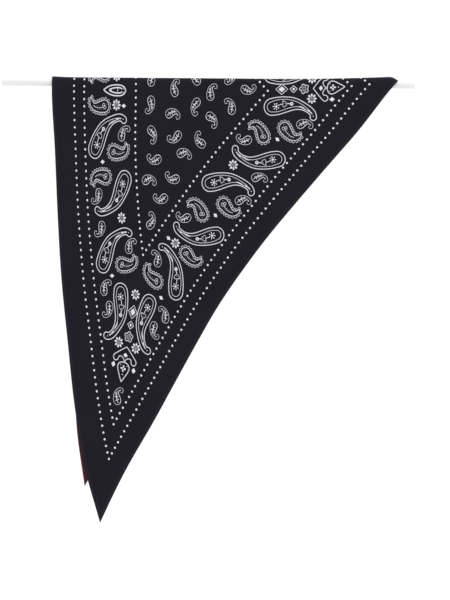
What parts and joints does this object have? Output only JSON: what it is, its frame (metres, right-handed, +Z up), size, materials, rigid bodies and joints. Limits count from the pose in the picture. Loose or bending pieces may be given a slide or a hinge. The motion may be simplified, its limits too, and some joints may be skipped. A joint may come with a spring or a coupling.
{
  "type": "triangular wool scarf on a rod",
  "caption": "Triangular printed wool scarf folded over a thin round rod, with a front fall, a shorter back fall and narrow hems.",
  "frame": {"origin": "the middle of the rod, on its centre line, where the rod is held", "axes": "+X along the rod towards the scarf's square corner, +Z up, and the front fall faces -Y"},
  "size_m": [0.764, 0.029, 0.829],
  "materials": {
    "rod_paint": "white satin paint on a round wooden rod",
    "printed_wool": "fine near-black navy wool, plain weave, printed off-white on its right side",
    "wool_wrong_side": "dark burgundy wrong side of the same wool"
  },
  "bodies": {
    "root": {"rod": "rod_paint", "cloth_over_rod": "printed_wool", "cloth_front": "printed_wool", "cloth_back": "printed_wool", "hem_long_edge_front": "wool_wrong_side", "hem_short_edge_front": "wool_wrong_side", "hem_long_edge_back": "wool_wrong_side", "hem_short_edge_back": "wool_wrong_side"}
  },
  "joints": []
}
